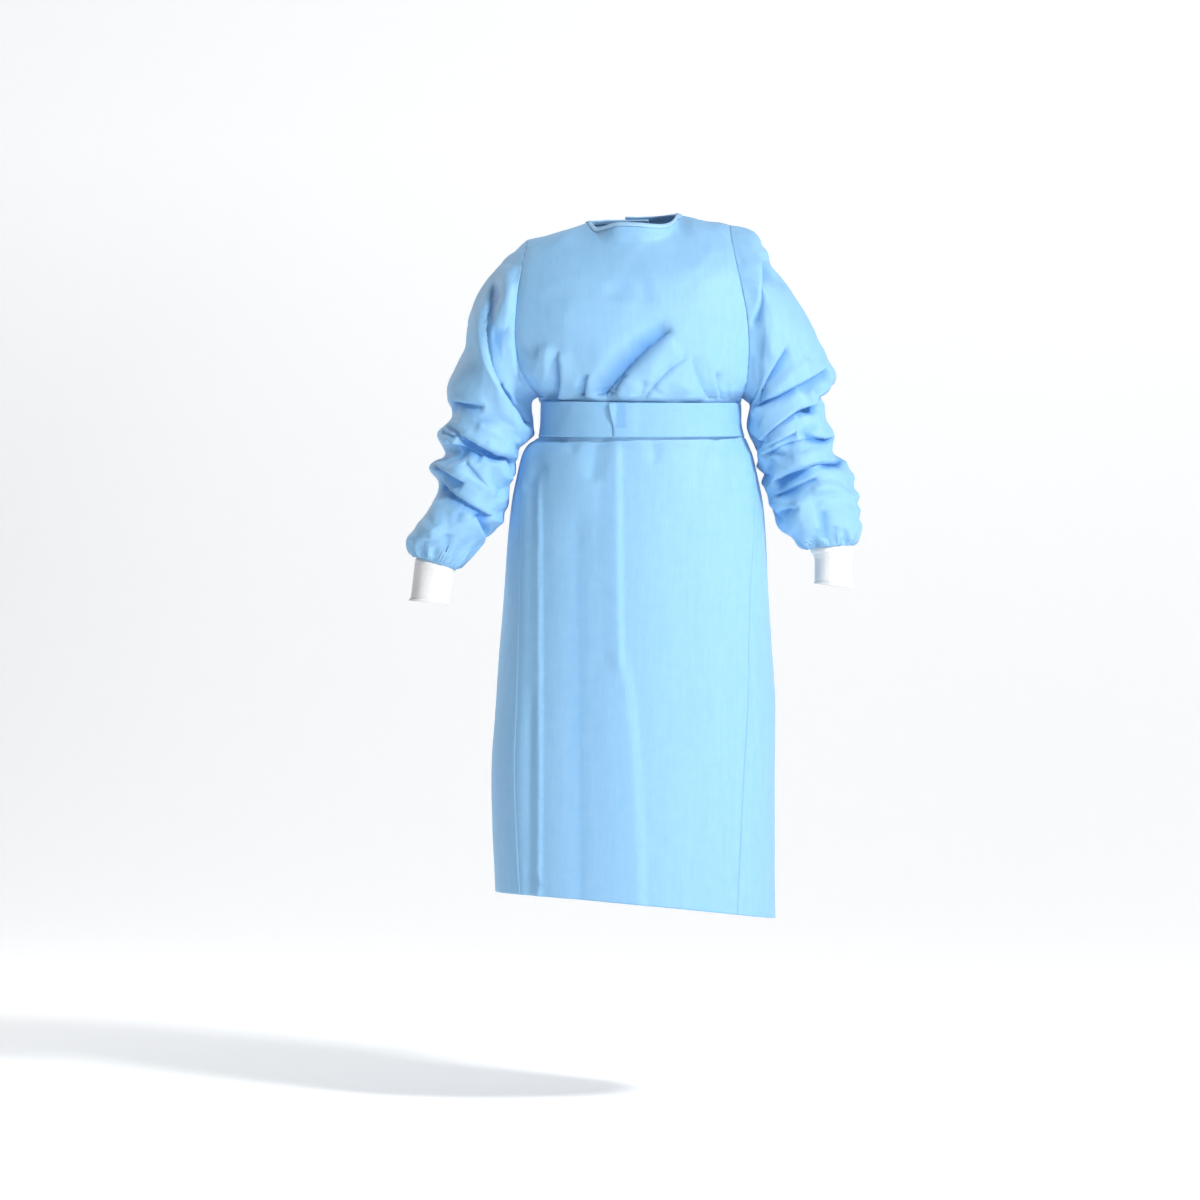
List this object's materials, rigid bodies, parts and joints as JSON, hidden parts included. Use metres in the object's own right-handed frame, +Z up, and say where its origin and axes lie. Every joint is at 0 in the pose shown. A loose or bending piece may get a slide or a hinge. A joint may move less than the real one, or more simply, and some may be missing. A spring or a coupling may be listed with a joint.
{
  "type": "procedure gown",
  "caption": "Worn procedure gown: long sleeves with knitted cuffs, bound neck, belted waist, lapped back and open hem, in a light nonwoven cloth.",
  "frame": {"origin": "middle of the neck opening at the height of the shoulders, where the wearer's shoulders hold the gown", "axes": "+Z up, towards the neck; +X towards the wearer's left side, which is the viewer's right; +Y towards the wearer's back"},
  "size_m": [0.6929, 0.3108, 1.0782],
  "materials": {
    "nonwoven": "sky-blue nonwoven cloth, semi-matte with a soft sheen and fine fibre streaks",
    "belt": "the same nonwoven cloth, folded into a flat strip",
    "binding": "a narrow folded strip of the nonwoven cloth, a little lighter",
    "rib_knit": "off-white fine rib knit, matte"
  },
  "bodies": {
    "root": {"front_panel": "nonwoven", "back_panel_left": "nonwoven", "back_panel_right": "nonwoven", "sleeve_left": "nonwoven", "sleeve_right": "nonwoven", "cuff_left": "rib_knit", "cuff_right": "rib_knit", "neck_binding": "binding", "belt_left": "belt", "belt_right": "belt", "belt_knot": "belt", "belt_tail_left": "belt", "belt_tail_right": "belt", "neck_tie_knot": "binding", "neck_tie_left": "binding", "neck_tie_right": "binding"}
  },
  "joints": []
}
